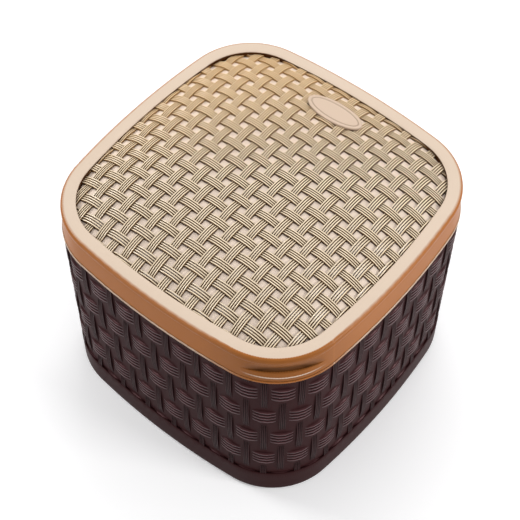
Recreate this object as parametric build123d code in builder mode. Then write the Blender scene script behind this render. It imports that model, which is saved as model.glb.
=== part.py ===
from build123d import *
from math import atan2, degrees, radians, sqrt, tan
import os

# Spice box: a woven-look tub, a crowned lid that drops over its neck, nine lift-out cups and a serving spoon.
# Millimetres, +Z up. The origin is the middle of the base, on the surface that the box stands on.
# +X points to the right-hand side and -Y to the front. The lid's finger grip is at the front right corner.

# Plan of the lid at the bottom edge of its skirt: a square with bowed sides and round corners
lid_width = 192.0
lid_corner_radius = 45.4
side_bow_radius = 457.0

# Heights
tub_height = 145.2
skirt_height = 21.0
crown_rise = 9.8
seam_gap = 0.7

# Lid
lid_plate = 1.8
skirt_wall = 1.4
skirt_flare = 1.0
bead_height = 1.6
bead_step = 0.5
cap_height = 4.0
cap_step = 0.4
cap_edge_radius = 2.2
rim_width = 8.7
inner_wall = 1.8
inner_wall_drop = 1.0
crown_quadratic = 1.5
crown_quartic = 9.2
weave_relief = 1.0

# Finger grip in the lid's skirt
grip_width = 45.0
grip_lip_height = 9.0
grip_headroom = 0.6

# Oval pad on the lid's panel, left bare
pad_length = 37.0
pad_width = 17.0
pad_rise = 0.5
pad_border = 1.2
pad_groove_width = 0.6
pad_groove_depth = 0.5
pad_centre_y = 64.5

# Tub
tub_draft = 0.5
neck_wall = 1.8
neck_gap = 0.35
neck_corner_extra = 7.0
floor_plate = 2.6
foot_recess = 1.2
foot_width = 9.0
base_edge_radius = 3.0
floor_corner_radius = 2.5
rib_wall = 1.6
rib_height = 5.0
rib_end_gap = 3.0

# Cups, three rows of three
cup_height = 116.0
cup_wall = 1.4
cup_floor = 1.6
cup_taper = 1.5
cup_gap = 1.0
cup_side_gap = 4.4
cup_corner_gap = 1.0
cup_corner_radius = 6.0
cup_rim_height = 2.5
cup_rim_recess = 0.5
cup_foot_radius = 1.2
cup_inside_radius = 2.0

# Spoon
bowl_radius = 16.0
bowl_foot_radius = 9.0
bowl_depth = 12.0
bowl_wall = 1.3
handle_length = 92.0
handle_width = 10.0
handle_thickness = 3.0
handle_shoulder = 6.0
handle_foot = 16.0
handle_end_radius = 4.5

# How finely the crowned surface is drawn, and how near two sizes count as equal
crown_steps = 12
surface_tolerance = 0.001
match_tolerance = 0.01

# Worked out from the sizes above
lid_half = lid_width / 2
rim_z = tub_height + lid_plate
skirt_z = rim_z - skirt_height
ledge_z = skirt_z - seam_gap
crown_z = rim_z + crown_rise
floor_z = foot_recess + floor_plate
cap_z = rim_z - cap_height
skirt_top_inset = bead_step + skirt_flare
skirt_inside_bottom = bead_step + skirt_wall
skirt_inside_top = skirt_top_inset + skirt_wall
cap_inset = skirt_top_inset - cap_step
rim_inner_inset = cap_inset + rim_width
panel_half = lid_half - rim_inner_inset
neck_bottom_inset = skirt_inside_bottom + neck_gap
neck_top_inset = skirt_inside_top + neck_gap
bore_top_inset = neck_top_inset + neck_wall
bore_floor_inset = bore_top_inset + (tub_height - floor_z) * tan(radians(tub_draft))
base_inset = ledge_z * tan(radians(tub_draft))
cup_grid_half = lid_half - bore_top_inset - cup_side_gap
cup_width = (2 * cup_grid_half - 2 * cup_gap) / 3
cup_pitch = cup_width + cup_gap
cup_rim_z = floor_z + cup_height


def corner_centre(extra):
    """How far the corner arc's centre lies from the middle, along X and along Y."""
    side_centre = lid_half - side_bow_radius
    span = side_bow_radius - lid_corner_radius - extra
    return (2 * side_centre + sqrt(8 * span**2 - 4 * side_centre**2)) / 4


def corner_reach(inset, extra):
    """Distance from the middle to the outline's corner, along the diagonal."""
    return corner_centre(extra) * sqrt(2) + lid_corner_radius + extra - inset


def outline(inset, extra=0.0):
    """Bowed square drawn this far inside the skirt's edge, with its corner radius made larger by extra."""
    centre = corner_centre(extra)
    side_centre = lid_half - side_bow_radius
    side_angle = degrees(atan2(centre, centre - side_centre))
    with BuildLine() as edge:
        for turn in (0, 90, 180, 270):
            side_point = Vector(side_centre, 0).rotate(Axis.Z, turn)
            corner_point = Vector(centre, centre).rotate(Axis.Z, turn)
            CenterArc(side_point, side_bow_radius - inset, turn - side_angle, 2 * side_angle)
            CenterArc(corner_point, lid_corner_radius + extra - inset, turn + side_angle, 90 - 2 * side_angle)
    make_face(edge.edges())


def drafted(low_z, low_inset, high_z, high_inset, extra=0.0, mode=Mode.ADD):
    """Solid between two outlines at two heights."""
    with BuildSketch(Plane.XY.offset(low_z)) as low:
        outline(low_inset, extra)
    with BuildSketch(Plane.XY.offset(high_z)) as high:
        outline(high_inset, extra)
    loft(sections=[low.sketch, high.sketch], ruled=True, mode=mode)


def upright(low_z, high_z, inset, mode=Mode.ADD):
    """Solid with plumb walls between two heights."""
    with BuildSketch(Plane.XY.offset(low_z)) as plan:
        outline(inset)
    extrude(plan.sketch, amount=high_z - low_z, mode=mode)


def crown_drop(x, y):
    """How far the lid's panel lies below its own middle."""
    u = x / panel_half
    v = y / panel_half
    return crown_quadratic * (u**2 + v**2) + crown_quartic * (u**4 + v**4)


def crown_face(lowered):
    """Crowned surface over the whole panel, this far below the top of the weave."""
    reach = panel_half + inner_wall
    places = [reach * (2 * step / crown_steps - 1) for step in range(crown_steps + 1)]
    rows = [[Vector(x, y, crown_z - lowered - crown_drop(x, y)) for x in places] for y in places]
    return Face.make_surface_from_array_of_points(rows, tol=surface_tolerance)


# Tub: body, neck, bore, foot recess and the low ribs that keep the cups apart
with BuildPart() as tub:
    drafted(0, base_inset, ledge_z, 0)
    fillet(tub.edges().group_by(Axis.Z)[0], radius=base_edge_radius)
    drafted(ledge_z - floor_plate, neck_bottom_inset, tub_height, neck_top_inset, neck_corner_extra)
    drafted(floor_z, bore_floor_inset, tub_height, bore_top_inset, neck_corner_extra, Mode.SUBTRACT)
    fillet(tub.faces().filter_by(Plane.XY).group_by(Axis.Z)[1].edges(), radius=floor_corner_radius)
    upright(0, foot_recess, base_inset + foot_width, Mode.SUBTRACT)
    rib_length = 2 * (cup_grid_half - cup_taper - rib_end_gap)
    with BuildSketch(Plane.XY.offset(floor_z)):
        with GridLocations(cup_pitch, 0, 2, 1):
            Rectangle(rib_wall, rib_length)
        with GridLocations(0, cup_pitch, 1, 2):
            Rectangle(rib_length, rib_wall)
    extrude(amount=rib_height)
tub.part.label = "tub"

# The corner cups' large corner keeps clear of the neck's corner while they lift out
bore_corner = (corner_reach(bore_top_inset, neck_corner_extra) - cup_corner_gap) / sqrt(2)
cup_outer_radius = (cup_grid_half - bore_corner) / (1 - sqrt(0.5))

# Lid: skirt, rim cap, hollow, crowned panel and the short wall that hangs from the rim's inner edge
panel_corner = corner_reach(rim_inner_inset, 0) / sqrt(2)
inner_wall_z = crown_z - weave_relief - lid_plate - crown_drop(panel_corner, panel_corner) - inner_wall_drop

# The grip's pocket is as deep as the tub's neck behind it allows
lip_z = skirt_z + grip_lip_height
pocket_top_z = cap_z - grip_headroom
lip_share = grip_lip_height / skirt_height
skirt_reach = corner_reach(bead_step + lip_share * skirt_flare, 0)
neck_inset = neck_bottom_inset + lip_share * (neck_top_inset - neck_bottom_inset)
neck_reach = corner_reach(neck_inset, neck_corner_extra)
grip_depth = skirt_reach - skirt_wall - neck_gap - neck_reach
skirt_arc = lid_corner_radius - bead_step - lip_share * skirt_flare
chord_reach = skirt_reach - skirt_arc + sqrt(skirt_arc**2 - (grip_width / 2) ** 2)
pocket_reach = skirt_reach - grip_depth
pocket_rise = pocket_reach - chord_reach
pocket_radius = (pocket_rise**2 + (grip_width / 2) ** 2) / (2 * pocket_rise)
corner_direction = Vector(1, -1, 0).normalized()


def grip_crescent(inset, back):
    """Region of the skirt's corner that lies outside the pocket's arc, moved back by this much."""
    outline(inset)
    with Locations(Location(corner_direction * skirt_reach, -45)):
        Rectangle(2 * (skirt_reach - chord_reach), grip_width, mode=Mode.INTERSECT)
    with Locations(corner_direction * (pocket_reach - pocket_radius)):
        Circle(pocket_radius - back, mode=Mode.SUBTRACT)


def oval(inset, mode=Mode.ADD):
    """Outline of the lid's pad, drawn this far inside its edge."""
    Ellipse(pad_length / 2 - inset, pad_width / 2 - inset, mode=mode)


with BuildPart() as lid:
    drafted(skirt_z, bead_step, (cap_z + rim_z - cap_edge_radius) / 2, skirt_top_inset)
    upright(skirt_z, skirt_z + bead_height, 0)
    with BuildPart(mode=Mode.PRIVATE) as cap:
        upright(cap_z, rim_z, cap_inset)
        fillet(cap.edges().group_by(Axis.Z)[-1], radius=cap_edge_radius)
    add(cap.part)
    drafted(skirt_z, skirt_inside_bottom, tub_height, skirt_inside_top, mode=Mode.SUBTRACT)
    with BuildSketch(Plane.XY.offset(lip_z - skirt_wall)):
        grip_crescent(skirt_inside_bottom - skirt_wall / 2, skirt_wall)
    extrude(amount=pocket_top_z - lip_z + 2 * skirt_wall)
    with BuildSketch(Plane.XY.offset(lip_z)):
        grip_crescent(-skirt_wall, 0)
    extrude(amount=pocket_top_z - lip_z, mode=Mode.SUBTRACT)
    upright(inner_wall_z, rim_z, rim_inner_inset - inner_wall)
    upright(inner_wall_z, rim_z, rim_inner_inset, Mode.SUBTRACT)
    with BuildPart(mode=Mode.PRIVATE) as panel:
        extrude(crown_face(0), amount=weave_relief + lid_plate, dir=(0, 0, -1))
        with BuildSketch(Plane.XY.offset(inner_wall_z)):
            outline(rim_inner_inset - inner_wall / 2)
        extrude(amount=crown_z + pad_rise - inner_wall_z, mode=Mode.INTERSECT)
    add(panel.part)
    with BuildPart(mode=Mode.PRIVATE) as pad:
        extrude(crown_face(-pad_rise), amount=pad_rise + weave_relief + lid_plate, dir=(0, 0, -1))
        with BuildSketch(Plane((0, pad_centre_y, inner_wall_z))):
            oval(0)
        extrude(amount=crown_z + pad_rise - inner_wall_z, mode=Mode.INTERSECT)
    add(pad.part)
    with BuildPart(mode=Mode.PRIVATE) as pad_line:
        extrude(crown_face(-pad_rise), amount=pad_groove_depth, dir=(0, 0, -1))
        with BuildSketch(Plane((0, pad_centre_y, inner_wall_z))):
            oval(pad_border)
            oval(pad_border + pad_groove_width, mode=Mode.SUBTRACT)
        extrude(amount=crown_z + pad_rise - inner_wall_z, mode=Mode.INTERSECT)
    add(pad_line.part, mode=Mode.SUBTRACT)
lid.part.label = "lid"


def cup_plan(plane, inset, corner_side):
    """Plan of a cup, with the one large corner that a corner cup turns to the corner of the tub."""
    width = cup_width - 2 * inset
    with BuildSketch(plane) as plan:
        Rectangle(width, width)
        corners = plan.vertices()
        if corner_side:
            outer = corners.sort_by(Axis((0, 0, 0), (*corner_side, 0)))[-1]
            fillet(outer, radius=cup_outer_radius - inset)
            square_corner = (width / 2) ** 2 - match_tolerance
            corners = [corner for corner in plan.vertices() if abs(corner.X * corner.Y) > square_corner]
        fillet(corners, radius=cup_corner_radius - inset)
    return plan.sketch


def make_cup(name, column, row):
    """One cup, standing on the tub's floor in its place in the grid."""
    corner_side = (column, row) if column and row else None
    x = column * cup_pitch
    y = row * cup_pitch
    inside_z = floor_z + cup_floor
    with BuildPart() as cup:
        foot = cup_plan(Plane((x, y, floor_z)), cup_taper, corner_side)
        mouth = cup_plan(Plane((x, y, cup_rim_z)), cup_rim_recess, corner_side)
        loft(sections=[foot, mouth], ruled=True)
        fillet(cup.edges().group_by(Axis.Z)[0], radius=cup_foot_radius)
        rim = cup_plan(Plane((x, y, cup_rim_z - cup_rim_height)), 0, corner_side)
        extrude(rim, amount=cup_rim_height)
        inside_foot = cup_plan(Plane((x, y, inside_z)), cup_taper + cup_wall, corner_side)
        inside_mouth = cup_plan(Plane((x, y, cup_rim_z)), cup_rim_recess + cup_wall, corner_side)
        with BuildPart(mode=Mode.PRIVATE) as hollow:
            loft(sections=[inside_foot, inside_mouth], ruled=True)
            fillet(hollow.edges().group_by(Axis.Z)[0], radius=cup_inside_radius)
        add(hollow.part, mode=Mode.SUBTRACT)
    cup.part.label = name
    return cup.part


columns = {"left": -1, "centre": 0, "right": 1}
rows = {"front": -1, "middle": 0, "back": 1}
cups = {
    f"cup_{row_name}_{column_name}": make_cup(f"cup_{row_name}_{column_name}", column, row)
    for row_name, row in rows.items()
    for column_name, column in columns.items()
}

# Spoon: a scoop that stands over the crossing of four cups, with its handle along the rims to the right
spoon_origin = Vector(-cup_pitch / 2, cup_pitch / 2, cup_rim_z)
handle_end = bowl_radius + handle_length
with BuildPart() as spoon:
    with BuildSketch(Plane(spoon_origin, x_dir=(1, 0, 0), z_dir=(0, -1, 0))):
        with BuildLine():
            Bezier(
                (bowl_foot_radius, 0),
                (bowl_radius - bowl_wall, 0),
                (bowl_radius, bowl_depth / 2),
                (bowl_radius, bowl_depth),
            )
            Line((bowl_radius, bowl_depth), (bowl_radius - bowl_wall, bowl_depth))
            Bezier(
                (bowl_radius - bowl_wall, bowl_depth),
                (bowl_radius - bowl_wall, bowl_depth / 2),
                (bowl_radius - 2 * bowl_wall, bowl_wall),
                (bowl_foot_radius, bowl_wall),
            )
            Polyline((bowl_foot_radius, bowl_wall), (0, bowl_wall), (0, 0), (bowl_foot_radius, 0))
        make_face()
    revolve(axis=Axis(spoon_origin, (0, 0, 1)))
    with BuildSketch(Plane(spoon_origin, x_dir=(1, 0, 0), z_dir=(0, -1, 0))):
        with BuildLine():
            Polyline(
                (bowl_radius - bowl_wall, bowl_depth),
                (bowl_radius + handle_shoulder, bowl_depth),
                (handle_end - handle_foot, handle_thickness),
                (handle_end, handle_thickness),
                (handle_end, 0),
                (handle_end - handle_foot, 0),
                (bowl_radius + handle_shoulder, bowl_depth - handle_thickness),
                (bowl_radius - bowl_wall, bowl_depth - handle_thickness),
                close=True,
            )
        make_face()
    extrude(amount=handle_width / 2, both=True)
    tip = spoon.edges().filter_by(Axis.Z).group_by(Axis.X)[-1]
    fillet(tip, radius=handle_end_radius)
spoon.part.label = "spoon"

os.makedirs("parts", exist_ok=True)
export_step(tub.part, "parts/tub.step")
export_step(lid.part, "parts/lid.step")
export_step(spoon.part, "parts/spoon.step")
for name, cup in cups.items():
    export_step(cup, f"parts/{name}.step")
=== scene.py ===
"""Spice box: a woven-look tub and its crowned lid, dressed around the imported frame.

Everything is in metres, +Z up, with the origin in the middle of the base.
+X is the right-hand side of the box and -Y its front.
"""

import logging
import math
from dataclasses import dataclass, field
from enum import Enum
from typing import Callable, Sequence

import bpy
from bpy.types import Material, Node, NodeSocket, NodeTree, Object
from mathutils import Matrix, Vector

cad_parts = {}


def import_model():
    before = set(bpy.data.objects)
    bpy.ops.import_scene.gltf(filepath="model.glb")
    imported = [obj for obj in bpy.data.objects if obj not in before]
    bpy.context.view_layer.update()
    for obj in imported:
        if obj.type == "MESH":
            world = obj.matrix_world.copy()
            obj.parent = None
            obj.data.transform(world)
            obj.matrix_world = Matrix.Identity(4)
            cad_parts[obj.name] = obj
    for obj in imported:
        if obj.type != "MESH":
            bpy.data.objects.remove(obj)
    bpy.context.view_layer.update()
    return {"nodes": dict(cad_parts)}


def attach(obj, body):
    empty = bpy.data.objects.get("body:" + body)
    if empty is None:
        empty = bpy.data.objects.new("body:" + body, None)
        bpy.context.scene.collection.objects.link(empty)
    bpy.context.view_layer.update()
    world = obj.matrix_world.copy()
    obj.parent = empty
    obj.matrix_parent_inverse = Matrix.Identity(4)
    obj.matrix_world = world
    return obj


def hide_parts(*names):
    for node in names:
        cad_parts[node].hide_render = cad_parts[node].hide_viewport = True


log = logging.getLogger("spice_box")

MM = 0.001
CUT_THRESHOLD = 1e-7
MIX_FIRST, MIX_SECOND, MIX_RESULT = 6, 7, 2  # a Mix node's colour sockets
Colour = tuple[float, float, float]
Point = tuple[float, float, float]
Ring = list[Vector]
Value = float | Colour | NodeSocket
Inputs = dict[str | int, Value]
Group = tuple[NodeTree, Node, Node]


class Run(Enum):
    """Which way the strands of the tub's weave run."""

    ROUND = "round"
    UP = "up"


@dataclass(frozen=True)
class BoxPlan:
    """Bowed square with round corners that the lid and the tub are drawn from."""

    half_width: float = 96.0 * MM
    corner_radius: float = 45.4 * MM
    bow_radius: float = 457.0 * MM
    side_steps: int = 16
    corner_steps: int = 40

    @property
    def side_centre(self) -> float:
        """Distance from the middle to the centre of a side's arc, along the side's own direction."""
        return self.half_width - self.bow_radius

    def corner_centre(self, extra: float = 0.0) -> float:
        """How far the corner arc's centre lies from the middle, along X and along Y.

        Args:
            extra: how much larger the corner's radius is than the lid's.

        Returns:
            The distance in metres.
        """
        span = self.bow_radius - self.corner_radius - extra
        return (2 * self.side_centre + math.sqrt(8 * span**2 - 4 * self.side_centre**2)) / 4

    def side_angle(self, extra: float = 0.0) -> float:
        """Half of the angle that a side's arc spans, in radians."""
        centre = self.corner_centre(extra)
        return math.atan2(centre, centre - self.side_centre)

    def corner_reach(self, inset: float, extra: float = 0.0) -> float:
        """Distance from the middle to the outline's corner, along the diagonal."""
        return self.corner_centre(extra) * math.sqrt(2) + self.corner_radius + extra - inset

    def arc_point(self, quarter: int, angle: float, on_side: bool, inset: float, extra: float) -> Vector:
        """A point of one arc of the outline.

        Args:
            quarter: 0 for the +X side and the corner after it, counted counter-clockwise.
            angle: direction from the arc's centre, before the quarter's turn.
            on_side: True for the side's arc, False for the corner's.
            inset: how far inside the skirt's edge the outline lies.
            extra: how much larger the corner's radius is than the lid's.

        Returns:
            The point, at no height.
        """
        if on_side:
            centre, radius = Vector((self.side_centre, 0.0, 0.0)), self.bow_radius - inset
        else:
            middle = self.corner_centre(extra)
            centre, radius = Vector((middle, middle, 0.0)), self.corner_radius + extra - inset
        point = centre + radius * Vector((math.cos(angle), math.sin(angle), 0.0))
        return Matrix.Rotation(quarter * math.pi / 2, 3, "Z") @ point

    def ring(self, inset: float, extra: float = 0.0) -> Ring:
        """The whole outline as points, counter-clockwise from the start of the +X side.

        Args:
            inset: how far inside the skirt's edge the outline lies.
            extra: how much larger the corner's radius is than the lid's.

        Returns:
            The points, at no height.
        """
        angle = self.side_angle(extra)
        points: Ring = []
        for quarter in range(4):
            for step in range(self.side_steps):
                turn = -angle + 2 * angle * step / self.side_steps
                points.append(self.arc_point(quarter, turn, True, inset, extra))
            for step in range(self.corner_steps):
                turn = angle + (math.pi / 2 - 2 * angle) * step / self.corner_steps
                points.append(self.arc_point(quarter, turn, False, inset, extra))
        return points

    def along(self, distance: float, inset: float) -> Vector:
        """The point at a distance round the outline.

        Args:
            distance: length from the middle of the +X side, counter-clockwise, on the skirt's edge.
            inset: how far inside the skirt's edge the point lies.

        Returns:
            The point, at no height.
        """
        angle = self.side_angle()
        side_length = 2 * angle * self.bow_radius
        quarter_length = side_length + (math.pi / 2 - 2 * angle) * self.corner_radius
        quarter, rest = divmod(distance + side_length / 2, quarter_length)
        if rest < side_length:
            return self.arc_point(int(quarter) % 4, rest / self.bow_radius - angle, True, inset, 0.0)
        turn = angle + (rest - side_length) / self.corner_radius
        return self.arc_point(int(quarter) % 4, turn, False, inset, 0.0)

    @property
    def girth(self) -> float:
        """Length all round the skirt's edge."""
        angle = self.side_angle()
        return 8 * angle * self.bow_radius + 4 * (math.pi / 2 - 2 * angle) * self.corner_radius


PLAN = BoxPlan()
CUT_PLAN = BoxPlan(side_steps=4, corner_steps=6)


def quarter_turn(steps: int) -> list[float]:
    """Angles of a quarter turn in equal steps, from 0."""
    return [math.radians(90 * step / steps) for step in range(steps + 1)]


def make_active(piece: Object) -> None:
    """Select one piece alone and make it the active one."""
    bpy.ops.object.select_all(action="DESELECT")
    piece.select_set(True)
    bpy.context.view_layer.objects.active = piece


def face_outward(piece: Object) -> None:
    """Turn every face of a piece outward."""
    make_active(piece)
    bpy.ops.object.mode_set(mode="EDIT")
    bpy.ops.mesh.select_all(action="SELECT")
    bpy.ops.mesh.normals_make_consistent(inside=False)
    bpy.ops.object.mode_set(mode="OBJECT")


def read_numbers(piece: Object, name: str) -> list[int]:
    """Read a whole-number attribute of a piece's vertices."""
    numbers = [0] * len(piece.data.vertices)
    piece.data.attributes[name].data.foreach_get("value", numbers)
    return numbers


def place_selected(piece: Object, ring: Ring, station: int) -> None:
    """Move the selected vertices of a piece to the points of a ring, by their column number.

    Args:
        piece: the piece.
        ring: the points, one for each column.
        station: number of the ring, which its vertices keep.
    """
    mesh = piece.data
    columns = read_numbers(piece, "column")
    stations = mesh.attributes["station"].data
    for vertex in mesh.vertices:
        if vertex.select:
            vertex.co = ring[columns[vertex.index]]
            stations[vertex.index].value = station


def loft_rings(name: str, rings: Sequence[Ring], poke: bool) -> Object:
    """A closed skin through rings of equally many points, made by extruding a circle.

    Args:
        name: the new piece's name.
        rings: the rings, in order.
        poke: True to divide each end into a fan about its middle.

    Returns:
        The new object.
    """
    bpy.ops.mesh.primitive_circle_add(vertices=len(rings[0]), fill_type="NOTHING")
    piece = bpy.context.object
    piece.name = piece.data.name = name
    numbers = piece.data.attributes.new("column", "INT", "POINT")
    numbers.data.foreach_set("value", range(len(rings[0])))
    piece.data.attributes.new("station", "INT", "POINT")
    place_selected(piece, rings[0], 0)
    for station, ring in enumerate(rings[1:], 1):
        bpy.ops.object.mode_set(mode="EDIT")
        bpy.ops.mesh.extrude_region_move()
        bpy.ops.object.mode_set(mode="OBJECT")
        place_selected(piece, ring, station)
    bpy.ops.object.mode_set(mode="EDIT")
    bpy.ops.mesh.select_all(action="SELECT")
    bpy.ops.mesh.fill_holes(sides=0)
    if poke:
        bpy.ops.mesh.select_face_by_sides(number=4, type="GREATER")
        bpy.ops.mesh.poke()
    bpy.ops.object.mode_set(mode="OBJECT")
    face_outward(piece)
    return piece


def reshape(piece: Object, rule: Callable[[Vector], Vector]) -> None:
    """Move every vertex of a piece by a rule."""
    for vertex in piece.data.vertices:
        vertex.co = rule(vertex.co)
    piece.data.update()


def repeat(piece: Object, counts: tuple[int, int], steps: tuple[float, float]) -> None:
    """Copy a piece in rows along X and Y, in its own mesh.

    Args:
        piece: the piece to repeat.
        counts: how many there are along X and along Y.
        steps: the distance from one to the next along X and along Y.
    """
    make_active(piece)
    for axis in range(2):
        rows = piece.modifiers.new("rows", "ARRAY")
        rows.count = counts[axis]
        rows.use_relative_offset = False
        rows.use_constant_offset = True
        rows.constant_offset_displace = (steps[0], 0.0, 0.0) if axis == 0 else (0.0, steps[1], 0.0)
        bpy.ops.object.modifier_apply(modifier=rows.name)


def join(name: str, pieces: Sequence[Object]) -> Object:
    """Join pieces into the first one and name it."""
    make_active(pieces[0])
    for piece in pieces[1:]:
        piece.select_set(True)
    bpy.ops.object.join()
    joined = bpy.context.object
    joined.name = joined.data.name = name
    return joined


def cut(piece: Object, places: Sequence[tuple[Vector, Vector]]) -> None:
    """Cut a piece by planes and close it, and drop what lies on the side each normal points to.

    Args:
        piece: the piece to cut.
        places: a point and a normal for each plane.
    """
    make_active(piece)
    bpy.ops.object.mode_set(mode="EDIT")
    for point, normal in places:
        bpy.ops.mesh.select_all(action="SELECT")
        bpy.ops.mesh.bisect(
            plane_co=point, plane_no=normal, use_fill=True, clear_outer=True, threshold=CUT_THRESHOLD
        )
    bpy.ops.object.mode_set(mode="OBJECT")


def smooth(piece: Object, degrees: float) -> None:
    """Shade a piece smooth, except over edges sharper than this angle."""
    make_active(piece)
    bpy.ops.object.shade_smooth_by_angle(angle=math.radians(degrees))


def set_mask(piece: Object, name: str, rule: Callable[[Vector, int, int], float]) -> None:
    """Store a number on every vertex, for the materials to read.

    Args:
        piece: the piece.
        name: the attribute's name.
        rule: gives the number from the vertex's place, its station and its column.
    """
    mesh = piece.data
    columns, stations = read_numbers(piece, "column"), read_numbers(piece, "station")
    values = [rule(vertex.co, stations[vertex.index], columns[vertex.index]) for vertex in mesh.vertices]
    mask = mesh.attributes.new(name, "FLOAT", "POINT")
    mask.data.foreach_set("value", values)


@dataclass(frozen=True)
class Strand:
    """One float of the weave: a flat band of ribs that rises out of the ground and dives back into it."""

    width: float
    reach: float
    rise: float
    fall: float
    thickness: float
    rib_depth: float
    flank: float = 0.0
    ribs: int = 4
    rib_points: tuple[float, ...] = (0.0, 0.27, 0.73)
    segments: int = 5
    bunching: float = 0.85
    # strength of the painted shade where the float dives into the ground
    end_shade: float = 0.75

    def section(self, height: float, station: float) -> Ring:
        """The band's cross-section at one place along it, with its underside.

        Args:
            height: height of the ribs' tops.
            station: distance along Y.

        Returns:
            The section's points.
        """
        points: Ring = []
        last = len(self.rib_points) * self.ribs  # the ribs' points, and one to end the last rib
        for count in range(last + 1):
            rib, place = divmod(count, len(self.rib_points))
            share = self.rib_points[place]
            across = self.width * ((rib + share) / self.ribs - 0.5)
            drop = 0.0 if share else self.rib_depth
            if count in (0, last):
                drop = self.thickness
            points.append(Vector((across, station, height - drop)))
        return points

    def build(self, name: str) -> Object:
        """Model one float along Y, with its highest ribs at height 0.

        Args:
            name: the new piece's name.

        Returns:
            The new object, with its across mask and its painted shade mask.
        """
        rings = []
        for step in range(self.segments + 1):
            station = self.reach * (2 * step / self.segments - 1)
            station = math.copysign(abs(station / self.reach) ** self.bunching, station) * self.reach
            rings.append(self.section(-self.fall * abs(station / self.rise) ** 2, station))
        piece = loft_rings(name, rings, poke=False)

        def across(place: Vector, station: int, column: int) -> float:
            """Count of ribs from the float's first side, whole in the gaps."""
            return min(max(column / len(self.rib_points), self.flank), self.ribs - self.flank)

        def painted_shade(place: Vector, station: int, column: int) -> float:
            """Painted shade on a vertex, most where the float dives into the ground."""
            return self.end_shade * min(1.0, abs(place.y / self.rise)) ** 4

        set_mask(piece, "across", across)
        set_mask(piece, "painted_shade", painted_shade)
        return piece


LID_STRAND = Strand(
    width=5.3 * MM,
    reach=8.9 * MM,
    rise=9.5 * MM,
    fall=2.0 * MM,
    thickness=1.95 * MM,
    rib_depth=0.55 * MM,
)
TUB_STRANDS = {
    Run.ROUND: Strand(
        width=12.6 * MM,
        reach=8.2 * MM,
        rise=6.9 * MM,
        fall=1.2 * MM,
        thickness=1.35 * MM,
        rib_depth=0.85 * MM,
        flank=0.2,
    ),
    Run.UP: Strand(
        width=4.1 * MM,
        reach=18.4 * MM,
        rise=15.6 * MM,
        fall=1.2 * MM,
        thickness=1.3 * MM,
        rib_depth=0.35 * MM,
        flank=0.1,
    ),
}


@dataclass
class Moulding:
    """A moulded shell of rings, which notes each ring's painted shade and painted reflection for its
    masks.
    """

    masks: list[tuple[float, float]] = field(default_factory=list, init=False)

    def level(
        self, z: float, inset: float, painted_shade: float = 0.0, painted_reflection: float = 0.0, extra: float = 0.0
    ) -> Ring:
        """A ring at one height.

        Args:
            z: the height.
            inset: how far inside the skirt's edge it lies.
            painted_shade: how deep in a groove it lies, from 0 to 1, which darkens it as painted shade.
            painted_reflection: how much of the side colour it has, from 0 to 1, a painted reflection on
                the upright faces.
            extra: how much larger the corner's radius is than the lid's.

        Returns:
            The ring's points.
        """
        self.masks.append((painted_shade, painted_reflection))
        return [Vector((point.x, point.y, z)) for point in PLAN.ring(inset, extra)]

    def levels(self, rows: Sequence[tuple[float, ...]], extra: float = 0.0) -> list[Ring]:
        """Rings from rows of height, inset and, where they aren't 0, painted shade and painted
        reflection.
        """
        return [self.level(*row, extra=extra) for row in rows]


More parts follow.
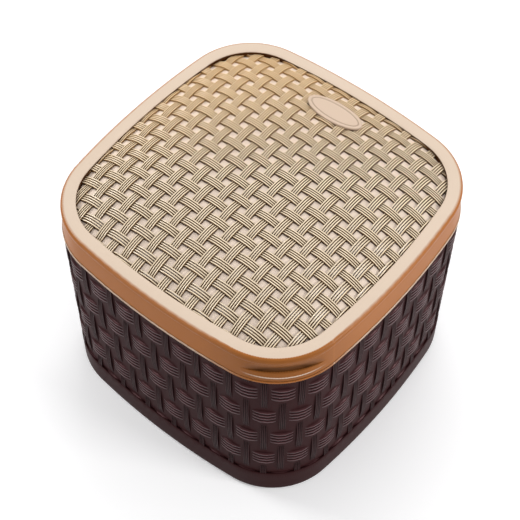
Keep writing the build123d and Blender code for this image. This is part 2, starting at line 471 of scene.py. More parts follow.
@dataclass
class Lid(Moulding):
    """Lid: crowned woven panel, flat rim, flared skirt with its grip, and the oval pad."""

    rim_z: float = 147.0 * MM
    cap_z: float = 143.0 * MM
    skirt_z: float = 126.0 * MM
    crown_z: float = 156.8 * MM
    inner_wall_z: float = 141.4 * MM
    plate_z: float = 145.2 * MM
    cap_inset: float = 1.1 * MM
    cap_edge_radius: float = 2.2 * MM
    bead_step: float = 0.5 * MM
    bead_height: float = 1.6 * MM
    skirt_top_inset: float = 1.5 * MM
    skirt_wall: float = 1.4 * MM
    flare_over_cap: float = 0.9 * MM
    rim_inner_inset: float = 9.8 * MM
    inner_wall: float = 1.8 * MM
    panel_half: float = 86.2 * MM
    panel_shares: tuple[float, ...] = (
        0.06, 0.15, 0.25, 0.35, 0.45, 0.55, 0.64, 0.72, 0.79, 0.85, 0.9, 0.94, 0.97, 0.99
    )
    crown_quadratic: float = 1.5 * MM
    crown_quartic: float = 9.2 * MM
    panel_under: float = 2.8 * MM
    ground_depth: float = 2.1 * MM
    pitch: float = 9.5 * MM
    weave_margin: float = 0.9 * MM
    lip_z: float = 135.0 * MM
    lip_round: float = 0.35 * MM
    pocket_top_z: float = 142.4 * MM
    pocket_steps: int = 8
    pocket_hollow: float = 1.6
    pocket_full: float = 1.6 * MM
    grip_width: float = 45.0 * MM
    grip_turn: float = math.radians(24)
    neck_gap: float = 0.35 * MM
    neck_corner_extra: float = 7.0 * MM
    pad_length: float = 37.0 * MM
    pad_width: float = 17.0 * MM
    pad_rise: float = 1.2 * MM
    pad_centre_y: float = 65.0 * MM
    pad_steps: int = 72
    # Painted light and shade: corner_shade is painted shade on the skirt near the grip's corner, the next
    # field and the pad's field add the painted reflection colour there and on the pad, the lip's field is
    # the painted highlight along the grip's lip, and the gold fields place a painted golden reflection on
    # the weave.
    corner_shade: float = 0.30
    corner_reflection: float = 0.9
    lip_highlight: float = 0.75
    pad_reflection: float = 0.12
    gold_lead: float = 10.0 * MM
    gold_width: float = 150.0 * MM
    gold_most: float = 0.5

    @property
    def flare(self) -> float:
        """How much further in the skirt's top lies than its foot."""
        return self.skirt_top_inset - self.bead_step

    def crown(self, x: float, y: float) -> float:
        """Height of the weave's top over a place of the panel."""
        u, v = x / self.panel_half, y / self.panel_half
        return self.crown_z - self.crown_quadratic * (u**2 + v**2) - self.crown_quartic * (u**4 + v**4)

    def skirt_inset(self, z: float) -> float:
        """How far the flared skirt's face lies inside the bead at a height."""
        share = (z - self.skirt_z) / (self.cap_z + self.flare_over_cap - self.skirt_z)
        return self.bead_step + share * self.flare

    def pocket(self, point: Vector) -> float:
        """Depth of the grip's pocket behind a point of the skirt, at the lip.

        Args:
            point: a point on the skirt's face.

        Returns:
            The depth in metres, 0 away from the grip.
        """
        flared = (self.lip_z - self.skirt_z) / (self.rim_z - self.skirt_z) * self.flare
        half_grip = self.grip_width / 2
        reach = PLAN.corner_reach(self.bead_step + flared)
        neck_inset = self.bead_step + self.skirt_wall + self.neck_gap + flared
        neck_reach = PLAN.corner_reach(neck_inset, self.neck_corner_extra)
        depth = reach - self.skirt_wall - self.neck_gap - neck_reach
        arc = PLAN.corner_radius - self.bead_step - flared
        rise = reach - depth - (reach - arc + math.sqrt(arc**2 - half_grip**2))
        radius = (rise**2 + half_grip**2) / (2 * rise)
        centre = Vector((1.0, -1.0, 0.0)).normalized() * (reach - depth - radius)
        flat = Vector((point.x, point.y, 0.0))
        if flat.x < 0 or flat.y > 0 or abs(flat.x + flat.y) > self.grip_width / math.sqrt(2):
            return 0.0
        return max(0.0, (flat - centre).length - radius)

    def corner_share(self, point: Vector) -> float:
        """How near a point of the outline lies to the grip's corner, from 0 to 1."""
        turn = math.atan2(point.y, point.x) + math.pi / 4
        return max(0.0, 1 - (turn / self.grip_turn) ** 2)

    def panel_ring(self, share: float, depth: float, painted_shade: float = 0.0) -> Ring:
        """A ring of the crowned panel.

        Args:
            share: size of the ring against the panel's edge.
            depth: how far below the weave's top it lies.
            painted_shade: how deep in a groove it lies, from 0 to 1, which darkens it as painted shade.

        Returns:
            The ring's points.
        """
        self.masks.append((painted_shade, 0.0))
        points = [share * point for point in PLAN.ring(self.rim_inner_inset)]
        return [Vector((point.x, point.y, self.crown(point.x, point.y) - depth)) for point in points]

    def skirt_ring(self, z: float, share: float) -> Ring:
        """A ring of the skirt's face, pressed in at the grip.

        Args:
            z: the height.
            share: share of the pocket's depth that it is pressed in by.

        Returns:
            The ring's points.
        """
        inset = self.skirt_inset(z)
        # The skirt takes the side colour in full, as a painted reflection.
        ring = self.level(z, inset, 0.0, 1.0)
        deeper = PLAN.ring(inset + 1.0 * MM)
        pressed = []
        for point, inner in zip(ring, deeper):
            inward = (Vector((inner.x, inner.y, z)) - point) / (1.0 * MM)
            pressed.append(point + inward * self.pocket(point) * share)
        return pressed

    def rim_rings(self) -> list[Ring]:
        """Rings of the lid's top, from the panel's middle over the rim to the skirt's top.

        Returns:
            The rings.
        """
        rings = [self.panel_ring(share, self.ground_depth) for share in self.panel_shares]
        # Painted shade on the ground at the panel's edge, by the rim's inner wall.
        rings.append(self.panel_ring(1.0, self.ground_depth, 1.0))
        inner, wall_top = self.rim_inner_inset, self.rim_z - 0.35 * MM
        # Rows are height, inset, painted shade and painted reflection: painted shade at the foot of the
        # rim's inner wall.
        rows = [
            (wall_top - 0.3 * MM, inner, 1.0),
            (wall_top, inner, 0.35),
            (self.rim_z - 0.1 * MM, inner - 0.25 * MM),
            (self.rim_z, inner - 0.6 * MM),
        ]
        radius = self.cap_edge_radius
        # The painted reflection colour comes in over the cap's rounded edge.
        for step, turn in enumerate(quarter_turn(6)):
            z = self.rim_z - radius * (1 - math.cos(turn))
            rows.append((z, self.cap_inset + radius * (1 - math.sin(turn)), 0.0, min(1.0, step / 3)))
        face = self.skirt_inset(self.cap_z)
        # A line of painted shade in the step under the cap, where the painted reflection colour is full.
        rows += [
            (self.cap_z + 0.25 * MM, self.cap_inset, 0.0, 1.0),
            (self.cap_z, self.cap_inset + 0.15 * MM, 0.4, 1.0),
            (self.cap_z, face + 0.25 * MM, 1.0, 1.0),
            (self.cap_z - 0.3 * MM, face, 0.3, 1.0),
        ]
        return rings + self.levels(rows)

    def foot_rings(self) -> list[Ring]:
        """Rings from the bead round the skirt's foot, up its inside and under the panel.

        Returns:
            The rings.
        """
        bead_top = self.skirt_z + self.bead_height
        inner, back = self.rim_inner_inset, self.rim_inner_inset - self.inner_wall
        # Rows are height, inset, painted shade and painted reflection: painted shade over the bead, at
        # the skirt's foot, inside it and under the panel; the bead takes a little of the painted
        # reflection colour, the inside all of it.
        rings = self.levels((
            (bead_top + 0.05 * MM, self.skirt_inset(bead_top) - 0.02 * MM, 0.8, 1.0),
            (bead_top - 0.1 * MM, 0.2 * MM, 0.0, 0.2),
            (bead_top - 0.45 * MM, 0.03 * MM, 0.0, 0.2),
            (self.skirt_z + 0.4 * MM, 0.03 * MM, 0.0, 0.4),
            (self.skirt_z, 0.35 * MM, 0.2, 1.0),
            (self.skirt_z, self.bead_step + self.skirt_wall, 0.6, 1.0),
            (self.plate_z, self.skirt_top_inset + self.skirt_wall, 0.6, 1.0),
            (self.plate_z, back, 0.3),
            (self.inner_wall_z + 0.4 * MM, back),
            (self.inner_wall_z, back + 0.4 * MM),
            (self.inner_wall_z, inner - 0.4 * MM),
            (self.inner_wall_z + 0.4 * MM, inner),
        ))
        # Painted shade under the panel's edge.
        rings.append(self.panel_ring(1.0, self.panel_under, 0.3))
        return rings + [self.panel_ring(share, self.panel_under) for share in reversed(self.panel_shares)]

    def build_shell(self) -> Object:
        """Model the lid's body, from the panel's ground to the inside.

        Returns:
            The new object, with its painted shade, painted reflection and painted light masks.
        """
        rings = self.rim_rings()
        top, lip = self.pocket_top_z, self.lip_z
        pocket_first = len(rings)
        pocket_last = pocket_first + self.pocket_steps + 1
        for step in range(self.pocket_steps + 1):
            share = step / self.pocket_steps
            z = top + (lip + self.lip_round - top) * share
            rings.append(self.skirt_ring(z, 1 - (1 - share) ** self.pocket_hollow))
        for drop, pressed in ((0.0, 0.85), (0.05, 0.22), (0.25, 0.05), (0.6, 0.0)):
            rings.append(self.skirt_ring(lip - drop * MM, pressed))
        grip_marks: dict[int, tuple[float, float]] = {}
        # Each row: drop, how far it is pressed, painted highlight and painted shade; a painted highlight
        # line on the lip's ridge and a painted shade line below it.
        for drop, pressed, highlight_mark, shade_mark in (  # the drop is in millimetres below the lip
            (1.8, -0.14, 0.0, 0.0),
            (2.8, -0.26, 0.0, 0.0),
            (3.2, -0.30, 1.0, 0.0),
            (3.6, -0.30, 1.0, 0.0),
            (3.9, -0.26, 0.0, 0.15),
            (4.3, -0.16, 0.0, 0.6),
            (4.7, -0.08, 0.0, 0.0),
            (5.6, 0.0, 0.0, 0.0),
        ):
            grip_marks[len(rings)] = (highlight_mark, shade_mark)
            rings.append(self.skirt_ring(lip - drop * MM, pressed))
        rings.append(self.skirt_ring(self.skirt_z + self.bead_height + 0.3 * MM, 0.0))
        shell = loft_rings("lid_shell", rings + self.foot_rings(), poke=True)
        face = PLAN.ring(self.skirt_inset(lip))
        depths = [min(1.0, self.pocket(point) / self.pocket_full) for point in face]
        corners = [self.corner_share(point) for point in face]

        def painted_shade(place: Vector, station: int, column: int) -> float:
            """Painted shade on a vertex: the ring's own, more near the grip's corner, a painted shade
            line under the lip's ridge, and deepest in the grip's pocket.
            """
            depth = depths[column] if pocket_first <= station <= pocket_last else 0.0
            mark = grip_marks.get(station, (0.0, 0.0))[1] * depths[column]
            base, side = self.masks[station]
            shade = self.corner_shade * corners[column] * side
            return min(1.0, base + shade + mark + depth * (top - place.z) / (top - lip))

        def painted_reflection(place: Vector, station: int, column: int) -> float:
            """Share of the side colour, a painted reflection, which the bead also takes at the grip's
            corner.
            """
            share = self.masks[station][1]
            return min(1.0, share + self.corner_reflection * corners[column]) if share else 0.0

        def painted_light(place: Vector, station: int, column: int) -> float:
            """Share of the lighter colour: painted light on the panel's ground squares, and a painted
            highlight along the grip's lip.
            """
            if station < len(self.panel_shares):
                return 1.0
            return self.lip_highlight * grip_marks.get(station, (0.0, 0.0))[0] * depths[column]

        for label, rule in (("painted_shade", painted_shade), ("painted_reflection", painted_reflection), ("painted_light", painted_light)):
            set_mask(shell, label, rule)
        smooth(shell, 50)
        return shell

    def build_weave(self) -> Object:
        """Model the woven floats on the panel, cut off inside the rim's inner edge.

        Returns:
            The new object.
        """
        pieces = []
        for first_x, first_y in ((-9, -9), (-8, -8), (-9, -8), (-8, -9)):
            piece = LID_STRAND.build("lid_floats")
            if first_x == first_y:
                reshape(piece, lambda point: Vector((point.y, -point.x, point.z)))
            repeat(piece, (1 - first_x, 1 - first_y), (2 * self.pitch, 2 * self.pitch))
            start = Vector((first_x * self.pitch, first_y * self.pitch, 0.0))
            reshape(piece, lambda point, start=start: point + start)
            pieces.append(piece)
        weave = join("lid_weave", pieces)
        reshape(weave, lambda point: Vector((point.x, point.y, point.z + self.crown(point.x, point.y))))
        border = CUT_PLAN.ring(self.rim_inner_inset - self.weave_margin)
        planes = []
        for point, after in zip(border, border[1:] + border[:1]):
            edge = after - point
            planes.append((point, Vector((edge.y, -edge.x, 0.0)).normalized()))
        cut(weave, planes)

        def painted_reflection(place: Vector, station: int, column: int) -> float:
            """Share of the golden colour, a painted reflection, which grows towards the corner farthest
            from the grip.
            """
            share = min(max((place.y - place.x + self.gold_lead) / self.gold_width, 0.0), 1.0)
            return self.gold_most * share * share * (3 - 2 * share)

        set_mask(weave, "painted_reflection", painted_reflection)
        smooth(weave, 60)
        return weave

    def pad_ring(self, inset: float, lift: float) -> Ring:
        """A ring of the oval pad.

        Args:
            inset: how far inside the pad's edge it lies.
            lift: height over the weave's top.

        Returns:
            The ring's points.
        """
        points: Ring = []
        for step in range(self.pad_steps):
            turn = 2 * math.pi * step / self.pad_steps
            x = (self.pad_length / 2 - inset) * math.cos(turn)
            y = self.pad_centre_y + (self.pad_width / 2 - inset) * math.sin(turn)
            points.append(Vector((x, y, self.crown(x, y) + lift)))
        return points

    def build_pad(self) -> Object:
        """Model the bare oval pad with the soft groove inside its edge.

        Returns:
            The new object.
        """
        rise = self.pad_rise
        stations = (  # inset, lift and painted shade of each ring, most at the pad's foot and in its groove
            (0.0, -2.2 * MM, 1.0),
            (0.0, -0.4 * MM, 0.9),
            (0.0, 0.1 * MM, 0.15),
            (0.0, rise - 0.5 * MM, 0.05),
            (0.15 * MM, rise - 0.15 * MM, 0.0),
            (0.5 * MM, rise, 0.0),
            (1.9 * MM, rise - 0.1 * MM, 0.0),
            (2.2 * MM, rise - 0.4 * MM, 0.4),
            (2.5 * MM, rise - 0.4 * MM, 0.4),
            (2.9 * MM, rise - 0.15 * MM, 0.0),
            (4.5 * MM, rise - 0.03 * MM, 0.0),
            (6.5 * MM, rise, 0.0),
        )
        rings = [self.pad_ring(inset, lift) for inset, lift, _ in stations]
        pad = loft_rings("lid_pad", rings, poke=True)
        set_mask(pad, "painted_shade", lambda place, station, column: stations[station][2])
        # The pad takes a little of the painted reflection colour.
        set_mask(pad, "painted_reflection", lambda place, station, column: self.pad_reflection)
        smooth(pad, 50)
        return pad


@dataclass
class Tub(Moulding):
    """Tub: plain band at the foot, woven wall, neck, bore and floor."""

    height: float = 145.2 * MM
    ledge_z: float = 125.3 * MM
    draft: float = 0.5
    base_edge_radius: float = 3.0 * MM
    band_top: float = 20.5 * MM
    ground_depth: float = 1.2 * MM
    neck_bottom_z: float = 122.7 * MM
    neck_bottom_inset: float = 2.25 * MM
    neck_top_inset: float = 3.25 * MM
    neck_wall: float = 1.8 * MM
    neck_corner_extra: float = 7.0 * MM
    floor_z: float = 3.8 * MM
    foot_recess: float = 1.2 * MM
    foot_width: float = 9.0 * MM
    floor_corner_radius: float = 2.5 * MM
    wall_steps: int = 12
    bore_steps: int = 6
    rib_wall: float = 1.6 * MM
    rib_height: float = 5.0 * MM
    rib_sunk: float = 0.6 * MM
    rib_edge: float = 0.3 * MM
    rib_length: float = 164.1 * MM
    rib_pitch: float = 58.033 * MM
    columns: int = 64
    row_pitch: float = 24.5 * MM
    first_row: float = 14.8 * MM
    rows: int = 6

    def face_inset(self, z: float) -> float:
        """How far the outer face lies inside the skirt's edge at a height."""
        return (self.ledge_z - z) * math.tan(math.radians(self.draft))

    def disc(self, z: float, inset: float, extra: float, shares: Sequence[float]) -> list[Ring]:
        """Rings that close a flat floor towards its middle."""
        rings = []
        for share in shares:
            ring = self.level(z, inset, extra=extra)
            rings.append([Vector((share * point.x, share * point.y, z)) for point in ring])
        return rings

    def build_shell(self) -> Object:
        """Model the tub's body with the recessed ground of its weave.

        Returns:
            The new object.
        """
        foot = self.face_inset(0.0) + self.foot_width
        radius, band, ground = self.base_edge_radius, self.band_top, self.ground_depth
        rings = self.disc(self.foot_recess, foot, 0.0, (0.1, 0.5, 0.9))
        rows = [(self.foot_recess, foot), (0.0, foot)]
        for turn in quarter_turn(6):
            z = radius * (1 - math.cos(turn))
            rows.append((z, self.face_inset(z) + radius * (1 - math.sin(turn))))
        rows += [(z, self.face_inset(z)) for z in (8 * MM, 14 * MM, band - 0.35 * MM)]
        face = self.face_inset(band)
        rows.append((band - 0.08 * MM, face + 0.1 * MM))
        # Painted shade where the weave's ground steps in above the plain band.
        rows += [(band, face + 0.4 * MM, 0.3), (band, face + ground, 1.0)]
        for step in range(self.wall_steps + 1):
            z = band + 0.8 * MM + (self.ledge_z - 2.0 * MM - band) * step / self.wall_steps
            rows.append((z, self.face_inset(z) + ground))
        edge = self.ledge_z - 0.2 * MM
        # Painted shade at the ledge, under the lid.
        rows += [(edge, self.face_inset(edge) + ground, 0.5), (self.ledge_z, ground + 0.2 * MM, 0.8)]
        rings += self.levels(rows)
        extra, brim = self.neck_corner_extra, self.height - 0.4 * MM
        slope = (self.neck_top_inset - self.neck_bottom_inset) / (self.height - self.neck_bottom_z)
        rows = []
        for z in (self.ledge_z, self.ledge_z + 0.6 * MM, 132 * MM, 139 * MM, brim):
            inset = self.neck_bottom_inset + slope * (z - self.neck_bottom_z)
            # Painted shade at the neck's foot, under the lid.
            rows.append((z, inset, 0.8 if z == self.ledge_z else 0.0))
        bore = self.neck_top_inset + self.neck_wall
        rows.append((self.height, self.neck_top_inset + 0.35 * MM))
        rows += [(self.height, bore - 0.35 * MM), (brim, bore)]
        corner, draft = self.floor_corner_radius, math.tan(math.radians(self.draft))
        fall = self.height - self.floor_z - corner - 0.4 * MM
        for step in range(self.bore_steps):
            z = brim - fall * (step + 1) / self.bore_steps
            rows.append((z, bore + (self.height - z) * draft))
        for turn in quarter_turn(5)[1:]:
            z = self.floor_z + corner * (1 - math.sin(turn))
            inset = bore + (self.height - z) * draft + corner * (1 - math.cos(turn))
            rows.append((z, inset))
        rings += self.levels(rows, extra)
        rings += self.disc(self.floor_z, inset, extra, (0.9, 0.6, 0.3, 0.05))
        shell = loft_rings("tub_shell", rings, poke=True)
        set_mask(shell, "painted_shade", lambda place, station, column: self.masks[station][0])
        smooth(shell, 50)
        return shell

    def wrap(self, point: Vector) -> Vector:
        """Take a point of the flat weave to the wall.

        Args:
            point: distance round the wall, height, and height over the weave's top.

        Returns:
            The point in the box's own frame.
        """
        place = PLAN.along(point.x, self.face_inset(point.y) - point.z)
        return Vector((place.x, place.y, point.y))

    def build_weave(self, run: Run) -> Object:
        """Model the floats of the wall that run one way, cut off at the ledge and at the plain band.

        Args:
            run: round the wall, or up it.

        Returns:
            The new object.
        """
        strand = TUB_STRANDS[run]
        step = PLAN.girth / self.columns
        pieces = []
        for row in range(self.rows):
            odd = (row + (run is Run.UP)) % 2
            piece = strand.build("tub_floats")
            if run is Run.ROUND:
                reshape(piece, lambda point: Vector((point.y, -point.x, point.z)))
            repeat(piece, (self.columns // 2, 1), (2 * step, 0.0))
            start = Vector((odd * step, self.first_row + row * self.row_pitch, 0.0))
            reshape(piece, lambda point, start=start: point + start)
            pieces.append(piece)
        weave = join(f"tub_weave_{run.value}", pieces)
        low = Vector((0.0, self.band_top - 0.3 * MM, 0.0))
        high = Vector((0.0, self.ledge_z, 0.0))
        cut(weave, [(low, Vector((0.0, -1.0, 0.0))), (high, Vector((0.0, 1.0, 0.0)))])
        reshape(weave, self.wrap)
        face_outward(weave)
        smooth(weave, 65)
        return weave

    def build_ribs(self) -> Object:
        """Model the four low ribs that keep the cups apart on the floor.

        Returns:
            The new object.
        """
        bars = []
        tall = self.rib_height + self.rib_sunk
        centre_z = self.floor_z + (self.rib_height - self.rib_sunk) / 2
        for turned in (False, True):
            for side in (-0.5, 0.5):
                bpy.ops.mesh.primitive_cube_add(size=1.0)
                bar = bpy.context.object

                def shape(point: Vector, turned: bool = turned, side: float = side) -> Vector:
                    """Size and place one corner of the bar."""
                    along = point.x * self.rib_length
                    across = side * self.rib_pitch + point.y * self.rib_wall
                    place = (-across, along) if turned else (along, across)
                    return Vector((*place, centre_z + point.z * tall))

                reshape(bar, shape)
                round_over = bar.modifiers.new("round_over", "BEVEL")
                round_over.width = self.rib_edge
                round_over.segments = 2
                bpy.ops.object.modifier_apply(modifier=round_over.name)
                bars.append(bar)
        ribs = join("tub_floor_ribs", bars)
        smooth(ribs, 40)
        return ribs


def feed(tree: NodeTree, node: Node, inputs: Inputs) -> None:
    """Set inputs of a node, each to a number or a colour, or link it to a socket."""
    for label, value in inputs.items():
        if isinstance(value, NodeSocket):
            tree.links.new(value, node.inputs[label])
        else:
            node.inputs[label].default_value = (*value, 1.0) if isinstance(value, tuple) else value


def add_node(tree: NodeTree, kind: str, inputs: Inputs | None = None, **settings: object) -> Node:
    """Add a shader node.

    Args:
        tree: the node tree that gets the node.
        kind: the node's type, without the leading ShaderNode.
        inputs: a number, a colour or a socket for each input that is set.
        **settings: the node's own settings.

    Returns:
        The new node.
    """
    node = tree.nodes.new(f"ShaderNode{kind}")
    for name, setting in settings.items():
        setattr(node, name, setting)
    feed(tree, node, inputs or {})
    return node


def mix(tree: NodeTree, share: NodeSocket, first: Value, second: Value) -> NodeSocket:
    """A socket with two colours mixed, where share is the part of the second one."""
    inputs = {"Factor": share, MIX_FIRST: first, MIX_SECOND: second}
    return add_node(tree, "Mix", inputs, data_type="RGBA").outputs[MIX_RESULT]


def reckon(tree: NodeTree, operation: str, first: Value, second: Value = 0.0) -> NodeSocket:
    """A socket with the result of a Math node."""
    return add_node(tree, "Math", {0: first, 1: second}, operation=operation).outputs[0]


def mask(tree: NodeTree, label: str) -> NodeSocket:
    """A socket with one of the masks that the pieces' vertices carry."""
    return add_node(tree, "Attribute", attribute_name=label).outputs["Fac"]


def sight(tree: NodeTree) -> NodeSocket:
    """A socket that is 1 for rays that look at the studio, straight or by a reflection."""
    rays = add_node(tree, "LightPath")
    current = rays.outputs["Is Camera Ray"]
    for label in ("Is Glossy Ray", "Is Transmission Ray"):
        current = reckon(tree, "MAXIMUM", current, rays.outputs[label])
    return current


def new_group(name: str, inputs: Sequence[str], outputs: Sequence[str]) -> Group:
    """A shader node group whose sockets all carry plain numbers.

    Args:
        name: the group's name.
        inputs: name of each input.
        outputs: name of each output.

    Returns:
        The group's tree, its input node and its output node.
    """
    tree = bpy.data.node_groups.new(name, "ShaderNodeTree")
    for way, labels in (("INPUT", inputs), ("OUTPUT", outputs)):
        for label in labels:
            tree.interface.new_socket(name=label, in_out=way, socket_type="NodeSocketFloat")
    return tree, tree.nodes.new("NodeGroupInput"), tree.nodes.new("NodeGroupOutput")


def moulded_surface() -> NodeTree:
    """Group for the slight unevenness of moulded plastic: a cloudy mask and a fine grain.

    Returns:
        The node group.
    """
    tree, enter, leave = new_group("MouldedSurface", ("Cloud Scale", "Grain Scale"), ("Cloud", "Grain"))
    place = add_node(tree, "TexCoord").outputs["Object"]
    for label, detail in (("Cloud", 2.0), ("Grain", 1.0)):
        inputs = {"Vector": place, "Scale": enter.outputs[f"{label} Scale"], "Detail": detail}
        noise = add_node(tree, "TexNoise", inputs)
        tree.links.new(noise.outputs["Fac"], leave.inputs[label])
    return tree


def reed_lines() -> NodeTree:
    """Group for a strand's ribs: painted shade in the grooves between two ribs and a painted highlight on
    the top of each.

    Returns:
        The node group.
    """
    tree, enter, leave = new_group("ReedLines", ("Across", "Gap Start"), ("Gap", "Crest"))
    current = enter.outputs["Across"]
    for operation, value in (("FRACT", 0.0), ("SUBTRACT", 0.5), ("ABSOLUTE", 0.0), ("MULTIPLY", 2.0)):
        current = reckon(tree, operation, current, value)
    # The first output is the share of painted shade, the second the share of painted highlight.
    for label, start, reach, first, last in (
        ("Gap", enter.outputs["Gap Start"], 0.65, 0.0, 1.0),
        ("Crest", 0.0, 0.5, 1.0, 0.0),
    ):
        inputs = {"Value": current, "From Min": start, "From Max": reach, "To Min": first, "To Max": last}
        ease = add_node(tree, "MapRange", inputs, interpolation_type="SMOOTHSTEP")
        tree.links.new(ease.outputs["Result"], leave.inputs[label])
    return tree


@dataclass(frozen=True)
class PlasticFinish:
    """Moulded plastic, cloudy all over, with a colour for each mask that its pieces carry.

    Each mask mixes in its own colour: the painted reflection mask a painted reflection colour, the
    painted shade mask a painted shade colour and the painted light mask a painted light colour. A finish
    with a colour for painted highlights
    is also ribbed by the across mask: painted highlight on the ribs' tops and painted shade between them.
    """

    name: str
    colour: Colour
    cloudy: Colour
    roughness: float
    side: Colour | None = None
    shade_colour: Colour | None = None
    painted_light: Colour | None = None
    painted_highlight: Colour | None = None
    shade_start: float = 0.4
    rough_range: float = 0.08
    specular: float = 0.5
    sheen: Colour = (1.0, 1.0, 1.0)
    coat: float = 0.0
    cloud_scale: float = 30.0
    grain_scale: float = 1500.0
    grain: float = 0.05
    grain_height: float = 0.2 * MM

    def build(self, surface: NodeTree, reeds: NodeTree) -> Material:
        """Make the material.

        Args:
            surface: the moulded surface group.
            reeds: the group for a strand's ribs, used where the finish has a painted highlight colour.

        Returns:
            The new material.
        """
        material = bpy.data.materials.new(self.name)
        material.use_nodes = True
        tree = material.node_tree
        scales = {"Cloud Scale": self.cloud_scale, "Grain Scale": self.grain_scale}
        group = add_node(tree, "Group", scales, node_tree=surface)
        cloud = group.outputs["Cloud"]
        current = mix(tree, cloud, self.colour, self.cloudy)
        # Painted highlight on the ribs' tops and painted shade in the grooves between them.
        if self.painted_highlight:
            lines = {"Across": mask(tree, "across"), "Gap Start": self.shade_start}
            ribs = add_node(tree, "Group", lines, node_tree=reeds)
            current = mix(tree, ribs.outputs["Crest"], current, self.painted_highlight)
            current = mix(tree, ribs.outputs["Gap"], current, self.shade_colour)
        # Painted reflection, painted shade and painted light, each by its mask.
        for label, colour in (("painted_reflection", self.side), ("painted_shade", self.shade_colour), ("painted_light", self.painted_light)):
            if colour:
                current = mix(tree, mask(tree, label), current, colour)
        spread = {"Value": cloud, "To Min": self.roughness, "To Max": self.roughness + self.rough_range}
        rough = add_node(tree, "MapRange", spread)
        relief = {"Height": group.outputs["Grain"], "Strength": self.grain, "Distance": self.grain_height}
        bump = add_node(tree, "Bump", relief)
        looks = {
            "Base Color": current,
            "Roughness": rough.outputs["Result"],
            "Normal": bump.outputs["Normal"],
            "Specular IOR Level": self.specular,
            "Specular Tint": self.sheen,
            "Coat Weight": self.coat,
        }
        feed(tree, tree.nodes["Principled BSDF"], looks)
        return material


# Painted shade colour of the dark chocolate pieces.
CHOCOLATE_SHADE = (0.005, 0.0015, 0.0015)
CHOCOLATE_SHEEN = (0.80, 0.42, 0.44)
# On the lid the darkest colour is painted shade, the deep orange one a painted reflection on the skirt,
# and the lightest a painted light on the ground squares and the grip's lip.
LID_BODY = PlasticFinish(
    name="lid_champagne",
    colour=(0.70, 0.565, 0.445),
    cloudy=(0.67, 0.535, 0.415),
    shade_colour=(0.075, 0.026, 0.006),
    side=(0.42, 0.145, 0.032),
    roughness=0.32,
    painted_light=(0.90, 0.75, 0.62),
    specular=0.08,
)
# On the lid's strands the darkest colour is painted shade between the ribs, the golden one a painted
# reflection, and the cream one a painted highlight on the ribs' tops.
LID_REEDS = PlasticFinish(
    name="lid_reeds",
    colour=(0.60, 0.34, 0.12),
    cloudy=(0.50, 0.26, 0.08),
    shade_colour=(0.030, 0.010, 0.002),
    side=(0.84, 0.52, 0.21),
    roughness=0.28,
    painted_highlight=(1.0, 0.88, 0.66),
    shade_start=0.2,
)
# The tub's darkest colour is painted shade in its hollows and under the lid.
TUB_BODY = PlasticFinish(
    name="tub_chocolate",
    colour=(0.034, 0.0105, 0.011),
    cloudy=(0.038, 0.0125, 0.013),
    shade_colour=CHOCOLATE_SHADE,
    roughness=0.38,
    sheen=CHOCOLATE_SHEEN,
    specular=0.03,
)
# On the tub's strands the darkest colour is painted shade between the ribs and the lighter one a painted
# highlight on the ribs' tops.
TUB_REEDS = PlasticFinish(
    name="tub_reeds",
    colour=(0.040, 0.014, 0.015),
    cloudy=(0.046, 0.017, 0.018),
    shade_colour=CHOCOLATE_SHADE,
    roughness=0.26,
    painted_highlight=(0.115, 0.052, 0.056),
    sheen=CHOCOLATE_SHEEN,
    specular=0.10,
)
# The same painted shade and painted highlight, fainter, on the upright strands.
TUB_STAKES = PlasticFinish(
    name="tub_stakes",
    colour=(0.034, 0.012, 0.0125),
    cloudy=(0.040, 0.015, 0.0155),
    shade_colour=(0.007, 0.002, 0.002),
    roughness=0.32,
    painted_highlight=(0.046, 0.018, 0.019),
    sheen=CHOCOLATE_SHEEN,
    specular=0.04,
)
CUP_BODY = PlasticFinish(
    name="cup_ivory",
    colour=(0.78, 0.72, 0.60),
    cloudy=(0.75, 0.69, 0.57),
    roughness=0.28,
    coat=0.1,
)
SPOON_BODY = PlasticFinish(
    name="spoon_champagne",
    colour=(0.66, 0.47, 0.28),
    cloudy=(0.62, 0.43, 0.25),
    roughness=0.34,
)


@dataclass(frozen=True)
class SoftBox:
    """Square area light. One with diffuse off shows only in glossy reflections."""

    name: str
    place: Point
    size: float
    power: float
    diffuse: bool = True


SOFT_BOXES = (
    SoftBox("back_box", (-0.35, 0.75, 1.25), 0.9, 7.0),
    SoftBox("left_box", (-0.98, -0.30, 0.80), 0.35, 5.5),
    SoftBox("right_box", (0.98, 0.22, 0.80), 0.35, 5.5),
    SoftBox("left_gleam", (-0.47, -1.15, 0.42), 0.4, 10.0, diffuse=False),
    SoftBox("right_gleam", (1.15, 0.47, 0.42), 0.4, 14.0, diffuse=False),
)


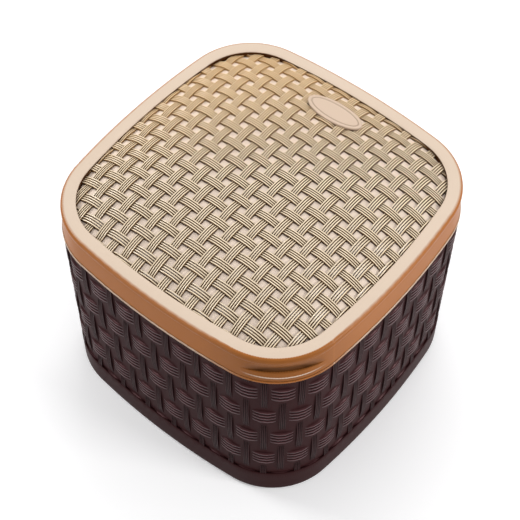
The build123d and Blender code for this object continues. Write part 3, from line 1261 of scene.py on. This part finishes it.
@dataclass
class Studio:
    """Pale floor, soft lights and the camera of the photograph."""

    place: Point = (0.301512, -0.376855, 0.767031)
    right: Point = (0.773871, 0.633314, 0.006124)
    down: Point = (0.521472, -0.631660, -0.573649)
    forward: Point = (-0.359431, 0.447124, -0.819078)
    lens: float = 98.14
    sensor_width: float = 36.0
    clip_start: float = 0.01
    aim: Point = (0.0, 0.0, 0.08)
    air_light: Colour = (0.50, 0.50, 0.51)
    air_seen: Colour = (1.0, 1.0, 1.0)
    floor_size: float = 8.0
    paper: Colour = (0.9, 0.9, 0.9)
    paper_roughness: float = 0.9
    lift_near: float = 0.10
    lift_far: float = 1.10
    lift_least: float = 0.25
    lift_most: float = 0.56

    def build_camera(self) -> None:
        """Set the camera up where the photograph was taken from."""
        camera = bpy.data.cameras.new("photo_camera")
        camera.lens = self.lens
        camera.sensor_width = self.sensor_width
        camera.clip_start = self.clip_start
        seat = bpy.data.objects.new("photo_camera", camera)
        bpy.context.scene.collection.objects.link(seat)
        up, back = -Vector(self.down), -Vector(self.forward)
        turn = Matrix((Vector(self.right), up, back)).transposed().to_4x4()
        seat.matrix_world = Matrix.Translation(Vector(self.place)) @ turn
        bpy.context.scene.camera = seat

    def build_floor(self) -> None:
        """Lay the floor of light grey paper, which looks nearly white by an emission that grows away from
        the box; the weaker emission round the box leaves a painted shadow there.
        """
        bpy.ops.mesh.primitive_plane_add(size=self.floor_size)
        floor = bpy.context.object
        floor.name = "studio_floor"
        material = bpy.data.materials.new("studio_paper")
        material.use_nodes = True
        tree = material.node_tree
        spot = add_node(tree, "TexCoord").outputs["Object"]
        away = add_node(tree, "VectorMath", {0: spot}, operation="LENGTH").outputs["Value"]
        growth = {
            "Value": away,
            "From Min": self.lift_near,
            "From Max": self.lift_far,
            "To Min": self.lift_least,
            "To Max": self.lift_most,
        }
        lift = add_node(tree, "MapRange", growth).outputs["Result"]
        looks = {
            "Base Color": self.paper,
            "Roughness": self.paper_roughness,
            "Specular IOR Level": 0.0,
            "Emission Color": (1.0, 1.0, 1.0),
            "Emission Strength": reckon(tree, "MULTIPLY", sight(tree), lift),
        }
        feed(tree, tree.nodes["Principled BSDF"], looks)
        floor.data.materials.append(material)

    def build_lights(self) -> None:
        """Hang the soft boxes and light the surroundings evenly."""
        world = bpy.data.worlds.new("studio_air")
        bpy.context.scene.world = world
        world.use_nodes = True
        air = world.node_tree
        feed(air, air.nodes["Background"], {"Color": mix(air, sight(air), self.air_light, self.air_seen)})
        for box in SOFT_BOXES:
            light = bpy.data.lights.new(box.name, "AREA")
            light.shape = "SQUARE"
            light.size = box.size
            light.energy = box.power
            holder = bpy.data.objects.new(box.name, light)
            holder.visible_diffuse = box.diffuse
            bpy.context.scene.collection.objects.link(holder)
            holder.location = box.place
            aim = Vector(self.aim) - Vector(box.place)
            holder.rotation_euler = aim.to_track_quat("-Z", "Y").to_euler()


def dress(piece: Object, material: Material) -> None:
    """Give a piece one material all over."""
    piece.data.materials.clear()
    piece.data.materials.append(material)


def seat(piece: Object, body: str, slot: str, node: str, material: Material) -> None:
    """Dress a new piece, let it ride on its body and stand for its node.

    Args:
        piece: the new piece.
        body: the body that it rides on.
        slot: the record's material slot; not used.
        node: the CAD node that it stands for.
        material: its finish.
    """
    dress(piece, material)
    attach(piece, body)
    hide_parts(node)
    log.info("piece %s rides on %s, %d faces", piece.name, body, len(piece.data.polygons))


def main() -> None:
    """Load the frame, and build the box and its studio."""
    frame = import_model()
    bpy.context.scene.view_settings.view_transform = "Standard"
    studio = Studio()
    studio.build_camera()
    surface, reeds = moulded_surface(), reed_lines()
    lid = Lid()
    lid_body, lid_reeds = LID_BODY.build(surface, reeds), LID_REEDS.build(surface, reeds)
    seat(lid.build_shell(), "lid", "lid_plastic", "lid", lid_body)
    seat(lid.build_weave(), "lid", "lid_plastic", "lid", lid_reeds)
    seat(lid.build_pad(), "lid", "lid_plastic", "lid", lid_body)
    tub = Tub()
    tub_body = TUB_BODY.build(surface, reeds)
    seat(tub.build_shell(), "tub", "tub_plastic", "tub", tub_body)
    for run, finish in ((Run.ROUND, TUB_REEDS), (Run.UP, TUB_STAKES)):
        seat(tub.build_weave(run), "tub", "tub_plastic", "tub", finish.build(surface, reeds))
    seat(tub.build_ribs(), "tub", "tub_plastic", "tub", tub_body)
    cup_body, spoon_body = CUP_BODY.build(surface, reeds), SPOON_BODY.build(surface, reeds)
    for name, node in frame["nodes"].items():
        if name.startswith("cup_"):
            dress(node, cup_body)
        elif name == "spoon":
            dress(node, spoon_body)
    studio.build_floor()
    studio.build_lights()


if __name__ == "__main__":
    logging.basicConfig(level=logging.INFO)
    main()
